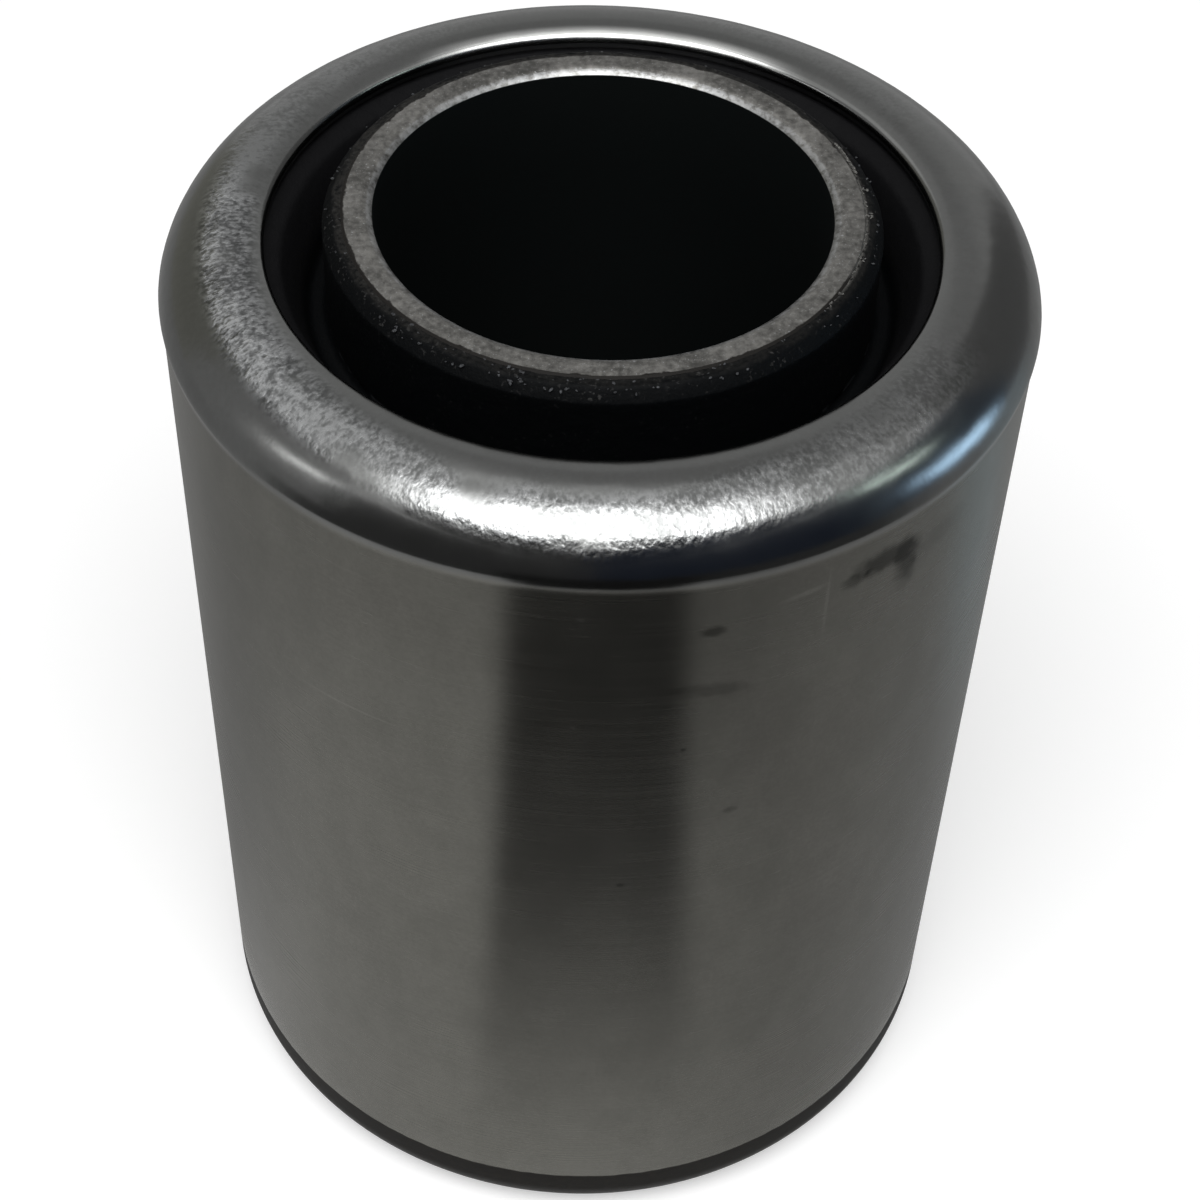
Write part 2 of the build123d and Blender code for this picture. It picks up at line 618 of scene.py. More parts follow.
@dataclass(frozen=True)
class MouldedRubber:
    """Dead black rubber, rough and a little dusty on its collar and rubbed grey at one side, painted darker in
    its groove and on its collar for shade and lighter on the lit outer slope.
    """

    # black is the rubber painted darker for the shade in the groove and on the collar; slope is the lighter,
    # lit outer slope.
    black: Colour = (0.0008, 0.0011, 0.0014)
    slope: Colour = (0.0045, 0.0045, 0.005)
    smeared: Colour = (0.016, 0.0155, 0.0145)
    dusty: Colour = (0.045, 0.045, 0.044)
    rubbed: Colour = (0.12, 0.118, 0.11)
    roughness: float = 0.62
    shine: float = 0.07
    skin_depth_mm: float = 0.05
    smeared_to_mm: float = 18.15
    rubbed_mm: float = 0.42

    def material(self, collar_from_mm: float, collar_to_mm: float) -> bpy.types.Material:
        """Build the material.

        Args:
            collar_from_mm: Inner radius of the collar.
            collar_to_mm: Outer radius of the collar.

        Returns:
            The finished material.
        """
        p = Paint("moulded_black_rubber")
        skin = p.noise(p.stretched(2.8, 2.8), detail=3.0, roughness=0.65)
        clouds = p.noise(p.stretched(0.5, 0.5), detail=3.0, seed=2.0)
        crumbs = p.noise(p.stretched(3.6, 3.6), detail=2.0, seed=5.0)
        on_collar = p.radius.rise(collar_to_mm + 0.1, collar_to_mm - 0.3)
        lit_slope_share = p.radius.rise(collar_to_mm + 1.4, collar_to_mm + 1.9)
        near_ring = (p.radius + (clouds - 0.5) * 1.3).rise(self.smeared_to_mm + 0.15, self.smeared_to_mm - 0.2)
        near_ring = near_ring * (((p.y - p.x) / p.radius).rise(-1.0, 0.9) * 0.6 + 0.4)
        dust = on_collar * crumbs.rise(0.58, 0.70) * clouds.rise(0.42, 0.60) * 0.7
        # Painted shade: the groove and the collar take the darker black, and the outer slope the lighter
        # colour.
        body = p.blend(lit_slope_share, self.black, self.slope)
        body = p.blend(near_ring * crumbs.rise(0.25, 0.6), body, self.smeared)
        at_side = (p.x / p.radius).rise(0.84, 0.93) * skin.rise(0.38, 0.50)
        rubbed = (p.radius + (skin - 0.5) * 0.5).rise(collar_from_mm + self.rubbed_mm, collar_from_mm) * at_side
        return p.finish(p.surface(
            Base_Color=p.blend(rubbed, p.blend(dust, body, self.dusty), self.rubbed),
            Metallic=0.0,
            Roughness=self.roughness + (skin - 0.5) * 0.2,
            Specular_IOR_Level=self.shine,
            Normal=p.bump(skin, self.skin_depth_mm),
        ))


@dataclass(frozen=True)
class PlainFinish:
    """A speckled finish for small loose bits: one colour that a fine noise lightens and darkens."""

    name: str
    colour: Colour
    metallic: float
    roughness: float
    shine: float = 0.25
    fine: float = 5.0

    def material(self) -> bpy.types.Material:
        """Build the material.

        Returns:
            The finished material.
        """
        p = Paint(self.name)
        speckle = p.noise(p.stretched(self.fine, self.fine), detail=3.0)
        dark = tuple(c * 0.45 for c in self.colour)
        light = tuple(c * 1.5 for c in self.colour)
        return p.finish(p.surface(
            Base_Color=p.blend(speckle.rise(0.35, 0.65), dark, light),
            Metallic=self.metallic,
            Roughness=self.roughness + (speckle - 0.5) * 0.2,
            Specular_IOR_Level=self.shine,
            Normal=p.bump(speckle, 0.02),
        ))


# Turned pieces


class Section:
    """The outline of a turned piece, as points of radius and height in metres."""

    def __init__(self) -> None:
        """Start an empty outline."""
        self.points: list[Point] = []

    def to(self, radius: float, height: float, pitch: float | None = None) -> "Section":
        """Run straight to a point.

        Args:
            radius: Radius of the point.
            height: Height of the point.
            pitch: Greatest distance between the points on the way, if it is divided.

        Returns:
            The section itself.
        """
        if pitch and self.points:
            start_radius, start_height = self.points[-1]
            length = math.hypot(radius - start_radius, height - start_height)
            parts = max(1, math.ceil(length / pitch))
            for i in range(1, parts):
                share = i / parts
                step = (start_radius + (radius - start_radius) * share,
                        start_height + (height - start_height) * share)
                self.points.append(step)
        self.points.append((radius, height))
        return self

    def arc(self, centre: Point, radius: float, start: float, end: float, pitch: float) -> "Section":
        """Follow an arc.

        Args:
            centre: Its centre.
            radius: Its radius.
            start: Angle of its first point in degrees.
            end: Angle of its last point in degrees.
            pitch: Greatest distance between its points.

        Returns:
            The section itself.
        """
        turn = math.radians(end - start)
        parts = max(2, math.ceil(abs(turn) * radius / pitch))
        for i in range(parts + 1):
            angle = math.radians(start) + turn * i / parts
            self.points.append((centre[0] + radius * math.cos(angle), centre[1] + radius * math.sin(angle)))
        return self

    def corner(self, before: Point, at: Point, after: Point, radius: float, pitch: float) -> "Section":
        """Round a corner between two straight runs.

        Args:
            before: A point on the run that comes in.
            at: The corner.
            after: A point on the run that goes out.
            radius: The radius of the rounding.
            pitch: Greatest distance between its points.

        Returns:
            The section itself.
        """
        tip = Vector(at)
        back, ahead = (Vector(before) - tip).normalized(), (Vector(after) - tip).normalized()
        half = back.angle(ahead) / 2
        centre = tip + (back + ahead).normalized() * radius / math.sin(half)
        start, end = tip + back * radius / math.tan(half), tip + ahead * radius / math.tan(half)
        first = math.degrees(math.atan2(*(start - centre).yx))
        last = math.degrees(math.atan2(*(end - centre).yx))
        turn = (last - first + 180) % 360 - 180
        return self.arc(tuple(centre), radius, first, first + turn, pitch)

    def clockwise(self) -> list[Point]:
        """The points in clockwise order, so that what is turned from them faces outwards."""
        ahead = self.points[1:] + self.points[:1]
        area = sum(a[0] * b[1] - b[0] * a[1] for a, b in zip(self.points, ahead))
        return self.points if area < 0 else self.points[::-1]

    def mirrored(self, middle: float) -> "Section":
        """Close the outline with its mirror image below the middle.

        Args:
            middle: Height of the mirror plane, on which the outline starts and ends.

        Returns:
            The section itself.
        """
        below = [(r, 2 * middle - h) for r, h in reversed(self.points[1:-1])]
        self.points += below
        return self


class LatheTree:
    """Geometry Nodes tree that turns a closed section about Z and gives its upper end a fine relief."""

    INPUTS = (
        ("Path radius", "NodeSocketFloat"),
        ("Segments", "NodeSocketInt"),
        ("Relief from", "NodeSocketFloat"),
        ("Relief full", "NodeSocketFloat"),
        ("Relief height", "NodeSocketFloat"),
        ("Relief size", "NodeSocketFloat"),
        ("Seed", "NodeSocketFloat"),
        ("Finish", "NodeSocketMaterial"),
    )

    def __init__(self) -> None:
        """Build the tree."""
        tree = bpy.data.node_groups.new("lathe", "GeometryNodeTree")
        tree.interface.new_socket("Section", in_out="INPUT", socket_type="NodeSocketGeometry")
        self.names = {}
        for name, kind in self.INPUTS:
            self.names[name] = tree.interface.new_socket(name, in_out="INPUT", socket_type=kind).identifier
        tree.interface.new_socket("Turned", in_out="OUTPUT", socket_type="NodeSocketGeometry")
        self.tree = tree
        g = Graph(tree)
        given = g.node("NodeGroupInput")
        size = {name: Field(g, given.outputs[name]) for name, _ in (("Section", ""), *self.INPUTS)}
        outline = g.field("GeometryNodeMeshToCurve", None, {"Mesh": size["Section"]})
        ring_sizes = {"Resolution": size["Segments"], "Radius": size["Path radius"]}
        ring = g.field("GeometryNodeCurvePrimitiveCircle", None, ring_sizes, "Curve")
        upright = g.field("GeometryNodeSetCurveNormal", {"mode": "Z_UP"}, {"Curve": ring})
        turned = g.field("GeometryNodeCurveToMesh", None, {"Curve": upright, "Profile Curve": outline})
        place = g.field("GeometryNodeInputPosition")
        height = g.field("ShaderNodeSeparateXYZ", None, {0: place}, "Z")
        ends = {
            "Value": height,
            "From Min": size["Relief from"],
            "From Max": size["Relief full"],
        }
        at_ends = g.field("ShaderNodeMapRange", {"interpolation_type": "SMOOTHSTEP"}, ends, "Result")
        scaled = {0: place, "Scale": 1 / size["Relief size"]}
        fine = g.field("ShaderNodeVectorMath", {"operation": "SCALE"}, scaled, "Vector")
        waves = {"Vector": fine, "W": size["Seed"], "Scale": 1.0, "Detail": 2.0}
        noise = g.field("ShaderNodeTexNoise", {"noise_dimensions": "4D"}, waves, "Fac")
        lift = (noise - 0.5) * size["Relief height"] * at_ends
        outwards = {0: g.field("GeometryNodeInputNormal"), "Scale": lift}
        shift = g.field("ShaderNodeVectorMath", {"operation": "SCALE"}, outwards, "Vector")
        grained = g.field("GeometryNodeSetPosition", None, {"Geometry": turned, "Offset": shift})
        smooth = g.field("GeometryNodeSetShadeSmooth", None, {"Geometry": grained, "Shade Smooth": True})
        single = g.field("GeometryNodeRealizeInstances", None, {"Geometry": smooth})
        dressed = g.field("GeometryNodeSetMaterial", None, {"Geometry": single, "Material": size["Finish"]})
        g.node("NodeGroupOutput", None, {0: dressed})

    def turn(self, name: str, section: Section, sizes: dict[str, Any]) -> bpy.types.Object:
        """Turn a section into a mesh object.

        Args:
            name: Name of the object.
            section: Its closed outline.
            sizes: Values of the tree's inputs, by name.

        Returns:
            The object, with a plain mesh and no modifier.
        """
        path_radius = sizes["Path radius"]
        flat = [(radius - path_radius, -height, 0.0) for radius, height in section.clockwise()]
        edges = [(i, (i + 1) % len(flat)) for i in range(len(flat))]
        outline = bpy.data.meshes.new(name + "_section")
        outline.from_pydata(flat, edges, [])
        return apply_tree(name, outline, self.tree, {self.names[key]: value for key, value in sizes.items()})


def apply_tree(name: str, source: bpy.types.Mesh, tree: bpy.types.NodeTree,
               values: dict[str, Any]) -> bpy.types.Object:
    """Run a Geometry Nodes tree on a mesh and keep the result as a plain mesh.

    Args:
        name: Name of the new object.
        source: The mesh that the tree starts from.
        tree: The tree.
        values: Its inputs, by socket identifier.

    Returns:
        The new object at the origin.
    """
    carrier = bpy.data.objects.new(name + "_carrier", source)
    bpy.context.scene.collection.objects.link(carrier)
    modifier = carrier.modifiers.new("shape", "NODES")
    modifier.node_group = tree
    for identifier, value in values.items():
        modifier[identifier] = value
    evaluated = carrier.evaluated_get(bpy.context.evaluated_depsgraph_get())
    mesh = bpy.data.meshes.new_from_object(evaluated)
    carrier.modifiers.remove(modifier)
    bpy.data.objects.remove(carrier)
    mesh.name = name
    piece = bpy.data.objects.new(name, mesh)
    bpy.context.scene.collection.objects.link(piece)
    LOG.info("%s: %d faces", name, len(mesh.polygons))
    return piece


def install(piece: bpy.types.Object, stands_for: str | None = None) -> None:
    """Tell the frame what a piece is.

    Args:
        piece: The finished piece.
        stands_for: The CAD node that it replaces, if any.
    """
    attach(piece, Body.WHOLE.value)
    if stands_for:
        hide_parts(stands_for)


@dataclass
class OuterShell:
    """The steel shell: its upper end rolled over, its lower end turned in square."""

    node: str = "outer_shell"
    wall: float = 0.003
    roll_radius: float = 0.0052
    roll_end: float = 115.0
    lip_edge_round: float = 0.0006
    bend_inside: float = 0.0004
    flange_width: float = 0.0069
    seam_below_crown: float = 0.00465
    lip_swell: float = 0.0003
    swell_turns: Point = (1.0, 14.0)
    scale_above_flange: float = 0.0052
    band_pitch: float = 0.004
    roll_pitch: float = 0.00022
    hidden_pitch: float = 0.0007
    edge_pitch: float = 0.00012
    segments: int = 480
    relief: float = 0.00004
    relief_size: float = 0.0016
    finish: ShellSteel = field(default_factory=ShellSteel)

    def __post_init__(self) -> None:
        """Take the overall sizes from the frame."""
        low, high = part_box(self.node)
        self.outside, self.bottom, self.top = high.x, low.z, high.z
        self.roll_centre = (self.outside - self.roll_radius, self.top - self.roll_radius)
        bend_radius = self.wall + self.bend_inside
        self.bend_centre = (self.outside - bend_radius, self.bottom + bend_radius)

    def cut_face(self, reach: float) -> Point:
        """Point on the lip's cut face, at a distance from the roll's centre."""
        turn = math.radians(self.roll_end)
        return (self.roll_centre[0] + reach * math.cos(turn), self.roll_centre[1] + reach * math.sin(turn))

    def swollen(self, point: Point) -> Point:
        """Move a point of the roll out a little, as rolling leaves the lip wider than the ground band.

        Args:
            point: Radius and height of the point.

        Returns:
            The moved point.
        """
        turn = math.atan2(point[1] - self.roll_centre[1], point[0] - self.roll_centre[0])
        low, high = (math.radians(angle) for angle in self.swell_turns)
        share = min(max((turn - low) / (high - low), 0.0), 1.0)
        smooth = share * share * (3.0 - 2.0 * share)
        return (point[0] + self.lip_swell * smooth * max(math.cos(turn), 0.0) ** 2, point[1])

    def inner_wall(self, section: Section) -> Section:
        """Follow the wall that the rubber is bonded to, from under the lip down to the flange's edge.

        Args:
            section: The outline that goes on along the wall.

        Returns:
            The same outline.
        """
        section.arc(self.roll_centre, self.roll_radius - self.wall, self.roll_end, 0.0, self.hidden_pitch)
        section.to(self.outside - self.wall, self.bend_centre[1], self.band_pitch)
        section.points.pop()
        section.arc(self.bend_centre, self.bend_inside, 0.0, -90.0, self.hidden_pitch)
        return section.to(self.outside - self.flange_width, self.bottom + self.wall, self.hidden_pitch)

    def section(self) -> Section:
        """The shell's outline: up the band, over the roll, down inside and round the flange.

        Returns:
            The closed outline.
        """
        edge_reach = self.roll_radius - self.lip_edge_round
        edge_turn = math.degrees(math.asin(self.lip_edge_round / edge_reach))
        edge_start = self.roll_end - edge_turn
        turn = math.radians(edge_start)
        edge = (self.roll_centre[0] + edge_reach * math.cos(turn),
                self.roll_centre[1] + edge_reach * math.sin(turn))
        flange_edge = (self.outside - self.flange_width, self.bottom)
        s = Section()
        s.arc(self.roll_centre, self.roll_radius, 0.0, edge_start, self.roll_pitch)
        s.points = [self.swollen(point) for point in s.points[:-1]]
        s.arc(edge, self.lip_edge_round, edge_start, self.roll_end + 90.0, self.edge_pitch)
        self.inner_wall(s)
        flange_end = (self.bend_centre[0], self.bottom)
        s.corner(s.points[-1], flange_edge, flange_end, self.lip_edge_round, self.edge_pitch)
        s.arc(self.bend_centre, self.wall + self.bend_inside, -90.0, 0.0, self.roll_pitch)
        s.to(*s.points[0], self.band_pitch)
        s.points.pop()
        return s

    def build(self, lathe: LatheTree) -> bpy.types.Object:
        """Turn the shell and dress it.

        Args:
            lathe: The tree that turns it.

        Returns:
            The shell.
        """
        seam = self.top - self.seam_below_crown
        scale = self.bottom + self.scale_above_flange
        piece = lathe.turn("shell_turned", self.section(), {
            "Path radius": self.outside - self.wall / 2,
            "Segments": self.segments,
            "Relief from": seam,
            "Relief full": seam + self.lip_edge_round,
            "Relief height": self.relief,
            "Relief size": self.relief_size,
            "Seed": 1.0,
            "Finish": self.finish.material(seam / MM, scale / MM, self.roll_centre, self.roll_radius / MM),
        })
        install(piece, self.node)
        return piece


@dataclass
class InnerSleeve:
    """The steel sleeve that takes the pivot bolt."""

    node: str = "inner_sleeve"
    wall: float = 0.0025
    bore_chamfer: float = 0.0004
    rim_chamfer: float = 0.0005
    edge_round: float = 0.00006
    bore_round: float = 0.0012
    rubber_starts: float = 0.0175
    face_pitch: float = 0.00012
    wall_pitch: float = 0.008
    segments: int = 720
    relief: float = 0.00002
    relief_size: float = 0.0006
    finish: SleeveSteel = field(default_factory=SleeveSteel)

    def __post_init__(self) -> None:
        """Take the overall sizes from the frame."""
        low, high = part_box(self.node)
        self.outside, self.top, self.middle = high.x, high.z, (low.z + high.z) / 2
        self.bore = self.outside - self.wall

    def section(self) -> Section:
        """The sleeve's outline: up the outside, over its chamfers and face, and down the bore.

        Returns:
            The closed outline.
        """
        start, end = (self.outside, self.middle), (self.bore, self.middle)
        rim_low = (self.outside, self.top - self.rim_chamfer)
        rim_high = (self.outside - self.rim_chamfer, self.top)
        bore_high = (self.bore + self.bore_chamfer, self.top)
        bore_low = (self.bore, self.top - self.bore_chamfer)
        fine = self.edge_round / 2
        s = Section()
        s.to(*start).to(rim_low[0], rim_low[1] - self.edge_round, self.wall_pitch)
        s.corner(start, rim_low, rim_high, self.edge_round, fine)
        s.corner(rim_low, rim_high, bore_high, self.edge_round, fine)
        s.to(bore_high[0] + self.bore_round / 2, self.top, self.face_pitch)
        s.corner(rim_high, bore_high, bore_low, self.bore_round, fine)
        s.corner(bore_high, bore_low, end, self.edge_round, fine)
        s.to(*end, self.wall_pitch)
        return s.mirrored(self.middle)

    def build(self, lathe: LatheTree) -> bpy.types.Object:
        """Turn the sleeve and dress it.

        Args:
            lathe: The tree that turns it.

        Returns:
            The sleeve.
        """
        piece = lathe.turn("sleeve_turned", self.section(), {
            "Path radius": self.outside - self.wall / 2,
            "Segments": self.segments,
            "Relief from": self.top - self.bore_chamfer,
            "Relief full": self.top - self.bore_chamfer / 2,
            "Relief height": self.relief,
            "Relief size": self.relief_size,
            "Seed": 2.0,
            "Finish": self.finish.material(self.bore / MM, self.bore_chamfer / MM, self.rubber_starts / MM),
        })
        install(piece, self.node)
        return piece


@dataclass
class RubberBody:
    """The rubber between sleeve and shell, with a round groove in each end."""

    node: str = "rubber_body"
    sleeve_outside: float = 0.018
    sleeve_top: float = 0.08
    collar_start: Point = (0.0175, 0.0001)
    collar_edge: Point = (0.0189, 0.0011)
    groove_depth: float = 0.008
    groove_floor: float = 0.0012
    lip_left_bare: float = 0.0012
    shoulder_width: float = 0.0013
    shoulder_fall: float = 0.0007
    collar_brow: Point = (0.01825, 0.0002)
    brow_round: float = 0.0005
    collar_round: float = 0.0003
    groove_round: float = 0.0005
    shoulder_round: float = 0.0008
    pitch: float = 0.00025
    hidden_pitch: float = 0.004
    segments: int = 480
    relief: float = 0.00012
    relief_size: float = 0.0009
    finish: MouldedRubber = field(default_factory=MouldedRubber)

    def end(self, joint_radius: float, joint_depth: float) -> list[Point]:
        """One end's outline, as radius and depth below the sleeve's face, from the sleeve out to the shell.

        Args:
            joint_radius: Radius at which the rubber meets the shell's edge.
            joint_depth: Depth of that joint.

        Returns:
            The outline's points.
        """
        foot = (self.sleeve_outside, self.collar_start[1] + self.sleeve_outside - self.collar_start[0])
        groove_inner = (self.collar_edge[0], self.groove_depth)
        groove_outer = (self.collar_edge[0] + self.groove_floor, self.groove_depth)
        joint = (joint_radius, joint_depth)
        shoulder = (joint_radius - self.shoulder_width, joint_depth + self.shoulder_fall)
        fine = self.collar_round / 2
        s = Section()
        s.to(*foot).to(*self.collar_start)
        s.to(self.collar_brow[0] - self.brow_round / 2, self.collar_brow[1], self.pitch)
        s.corner(self.collar_start, self.collar_brow, self.collar_edge, self.brow_round, fine)
        s.corner(self.collar_brow, self.collar_edge, groove_inner, self.collar_round, fine)
        s.to(groove_inner[0], groove_inner[1] - self.groove_round, self.pitch)
        s.corner(self.collar_edge, groove_inner, groove_outer, self.groove_round, self.pitch)
        s.corner(groove_inner, groove_outer, shoulder, self.groove_round, self.pitch)
        slope = (Vector(groove_outer) - Vector(shoulder)).normalized() * self.shoulder_round
        s.to(shoulder[0] + slope.x, shoulder[1] + slope.y, self.pitch)
        s.corner(groove_outer, shoulder, joint, self.shoulder_round, self.pitch)
        return s.to(*joint, self.pitch).points

    def section(self, shell: OuterShell) -> Section:
        """The rubber's outline: upper end, the shell's inner wall, lower end and the sleeve.

        Args:
            shell: The shell, between whose edges the rubber ends.

        Returns:
            The closed outline.
        """
        lip_joint = shell.cut_face(shell.roll_radius - self.lip_left_bare)
        upper = self.end(lip_joint[0], self.sleeve_top - lip_joint[1])
        lower = self.end(shell.outside - shell.flange_width, shell.bottom + self.lip_left_bare)
        s = Section()
        s.points += [(radius, self.sleeve_top - depth) for radius, depth in upper]
        shell.inner_wall(s)
        s.points += reversed(lower)
        s.to(*s.points[0], self.hidden_pitch)
        s.points.pop()
        return s

    def build(self, lathe: LatheTree, shell: OuterShell) -> bpy.types.Object:
        """Mould the rubber and dress it.

        Args:
            lathe: The tree that turns it.
            shell: The shell that holds it.

        Returns:
            The rubber.
        """
        groove_bottom = self.sleeve_top - self.groove_depth
        piece = lathe.turn("rubber_moulded", self.section(shell), {
            "Path radius": (self.sleeve_outside + shell.outside - shell.wall) / 2,
            "Segments": self.segments,
            "Relief from": groove_bottom - self.groove_round,
            "Relief full": groove_bottom,
            "Relief height": self.relief,
            "Relief size": self.relief_size,
            "Seed": 3.0,
            "Finish": self.finish.material(self.collar_start[0] / MM, self.collar_edge[0] / MM),
        })
        install(piece, self.node)
        return piece


class ScatterTree:
    """Geometry Nodes tree that strews small ragged bits over a part of a flat ring."""

    INPUTS = (
        ("Count", "NodeSocketInt"),
        ("From angle", "NodeSocketFloat"),
        ("To angle", "NodeSocketFloat"),
        ("Inner radius", "NodeSocketFloat"),
        ("Outer radius", "NodeSocketFloat"),
        ("Inner height", "NodeSocketFloat"),
        ("Outer height", "NodeSocketFloat"),
        ("Smallest", "NodeSocketFloat"),
        ("Largest", "NodeSocketFloat"),
        ("Flatness", "NodeSocketFloat"),
        ("Stretch", "NodeSocketFloat"),
        ("Swing", "NodeSocketFloat"),
        ("Seed", "NodeSocketInt"),
        ("Finish", "NodeSocketMaterial"),
    )

    def __init__(self) -> None:
        """Build the tree."""
        tree = bpy.data.node_groups.new("scatter", "GeometryNodeTree")
        tree.interface.new_socket("Nothing", in_out="INPUT", socket_type="NodeSocketGeometry")
        self.names = {}
        for name, kind in self.INPUTS:
            self.names[name] = tree.interface.new_socket(name, in_out="INPUT", socket_type=kind).identifier
        tree.interface.new_socket("Strewn", in_out="OUTPUT", socket_type="NodeSocketGeometry")
        self.tree = tree
        g = Graph(tree)
        given = g.node("NodeGroupInput")
        size = {name: Field(g, given.outputs[name]) for name, _ in self.INPUTS}

        def chance(low: Any, high: Any, step: int) -> Field:
            """A random number between two values, with its own seed."""
            seeds = {"Min": low, "Max": high, "Seed": size["Seed"] + float(step)}
            return g.field("FunctionNodeRandomValue", {"data_type": "FLOAT"}, seeds, "Value")

        angle = chance(size["From angle"], size["To angle"], 1)
        reach = chance(0.0, 1.0, 2)
        radius = size["Inner radius"] + (size["Outer radius"] - size["Inner radius"]) * reach
        height = size["Inner height"] + (size["Outer height"] - size["Inner height"]) * reach
        across = radius * g.field("ShaderNodeMath", {"operation": "COSINE"}, {0: angle})
        deep = radius * g.field("ShaderNodeMath", {"operation": "SINE"}, {0: angle})
        place = g.field("ShaderNodeCombineXYZ", None, {"X": across, "Y": deep, "Z": height})
        points = g.field("GeometryNodePoints", None, {"Count": size["Count"], "Position": place})
        bit = g.field("GeometryNodeMeshIcoSphere", None, {"Radius": 1.0, "Subdivisions": 2}, "Mesh")
        spin = g.field("ShaderNodeCombineXYZ", None, {
            "X": chance(-0.3, 0.3, 3), "Y": chance(-0.3, 0.3, 4),
            "Z": angle + math.pi / 2 + chance(-1.0, 1.0, 5) * size["Swing"]})
        width = size["Smallest"] + (size["Largest"] - size["Smallest"]) * chance(0.0, 1.0, 6) ** 2.0
        scale = g.field("ShaderNodeCombineXYZ", None, {
            "X": width * size["Stretch"], "Y": width * chance(0.5, 1.0, 7), "Z": width * size["Flatness"]})
        strewn = g.field("GeometryNodeInstanceOnPoints", None, {
            "Points": points, "Instance": bit, "Rotation": spin, "Scale": scale})
        single = g.field("GeometryNodeRealizeInstances", None, {"Geometry": strewn})
        fine = {0: g.field("GeometryNodeInputPosition"), "Scale": 1.0 / size["Largest"]}
        where = g.field("ShaderNodeVectorMath", {"operation": "SCALE"}, fine, "Vector")
        waves = {"Vector": where, "Scale": 1.0}
        noise = g.field("ShaderNodeTexNoise", {"noise_dimensions": "3D"}, waves, "Fac")
        lift = {0: g.field("GeometryNodeInputNormal"), "Scale": (noise - 0.5) * size["Smallest"] * 2.0}
        shift = g.field("ShaderNodeVectorMath", {"operation": "SCALE"}, lift, "Vector")
        ragged = g.field("GeometryNodeSetPosition", None, {"Geometry": single, "Offset": shift})
        dressed = g.field("GeometryNodeSetMaterial", None, {"Geometry": ragged, "Material": size["Finish"]})
        g.node("NodeGroupOutput", None, {0: dressed})

    def strew(self, name: str, sizes: dict[str, Any]) -> bpy.types.Object:
        """Strew the bits.

        Args:
            name: Name of the object.
            sizes: Values of the tree's inputs, by name.

        Returns:
            The object, with a plain mesh and no modifier.
        """
        nothing = bpy.data.meshes.new(name + "_start")
        return apply_tree(name, nothing, self.tree, {self.names[key]: value for key, value in sizes.items()})


@dataclass(frozen=True)
class Bits:
    """One kind of small bits on the rubber's collar: angles in degrees, the rest in metres."""

    name: str
    count: int
    angles: Point
    radii: Point
    heights: Point
    widths: Point
    finish: PlainFinish
    slot: Slot
    stretch: float = 1.3
    swing: float = 3.0
    flatness: float = 0.45
    seed: int = 1

    def build(self, scatter: ScatterTree) -> bpy.types.Object:
        """Strew and dress them.

        Args:
            scatter: The tree that strews them.

        Returns:
            The bits as one object.
        """
        piece = scatter.strew(self.name, {
            "Count": self.count,
            "From angle": math.radians(self.angles[0]),
            "To angle": math.radians(self.angles[1]),
            "Inner radius": self.radii[0],
            "Outer radius": self.radii[1],
            "Inner height": self.heights[0],
            "Outer height": self.heights[1],
            "Smallest": self.widths[0],
            "Largest": self.widths[1],
            "Flatness": self.flatness,
            "Stretch": self.stretch,
            "Swing": self.swing,
            "Seed": self.seed,
            "Finish": self.finish.material(),
        })
        install(piece)
        return piece


@dataclass(frozen=True)
class CollarLitter:
    """Crumbs of rubber and slivers of steel left round the sleeve's end."""

    crumb: PlainFinish = PlainFinish("rubber_crumb", (0.040, 0.042, 0.045), 0.0, 0.7)
    sliver: PlainFinish = PlainFinish("steel_sliver", (0.10, 0.098, 0.092), 0.0, 0.7)
    collar_heights: Point = (0.07988, 0.07952)
    rim_heights: Point = (0.07994, 0.07984)

    def build(self, scatter: ScatterTree) -> None:
        """Strew every kind.

        Args:
            scatter: The tree that strews them.
        """
        kinds = (
            Bits("front_crumbs", 110, (-142.0, -62.0), (0.01755, 0.0187), self.collar_heights,
                 (0.00006, 0.00017), self.crumb, Slot.RUBBER, seed=3),
            Bits("round_crumbs", 120, (-62.0, 218.0), (0.01755, 0.0187), self.collar_heights,
                 (0.00004, 0.00012), self.crumb, Slot.RUBBER, seed=9),
            Bits("burr", 34, (14.5, 27.5), (0.01772, 0.01784), self.rim_heights,
                 (0.00008, 0.00013), self.sliver, Slot.SLEEVE, 3.2, 0.1, 0.35, 21),
            Bits("rim_slivers", 22, (-36.0, 14.0), (0.01752, 0.01776), self.rim_heights,
                 (0.00005, 0.00011), self.sliver, Slot.SLEEVE, 2.0, 0.8, 0.35, 31),
            Bits("stub_a", 6, (8.6, 10.0), (0.0176, 0.0181), self.rim_heights,
                 (0.00008, 0.00014), self.sliver, Slot.SLEEVE, 1.4, 1.5, 0.4, 41),
            Bits("stub_b", 6, (-0.6, 0.8), (0.0176, 0.01805), self.rim_heights,
                 (0.00008, 0.00013), self.sliver, Slot.SLEEVE, 1.4, 1.5, 0.4, 51),
            Bits("stub_c", 5, (-16.2, -15.0), (0.01755, 0.01795), self.rim_heights,
                 (0.00007, 0.00012), self.sliver, Slot.SLEEVE, 1.4, 1.5, 0.4, 61),
            Bits("stub_d", 5, (-28.8, -27.6), (0.01755, 0.018), self.rim_heights,
                 (0.00007, 0.00012), self.sliver, Slot.SLEEVE, 1.4, 1.5, 0.4, 71),
        )
        for kind in kinds:
            kind.build(scatter)


# Studio


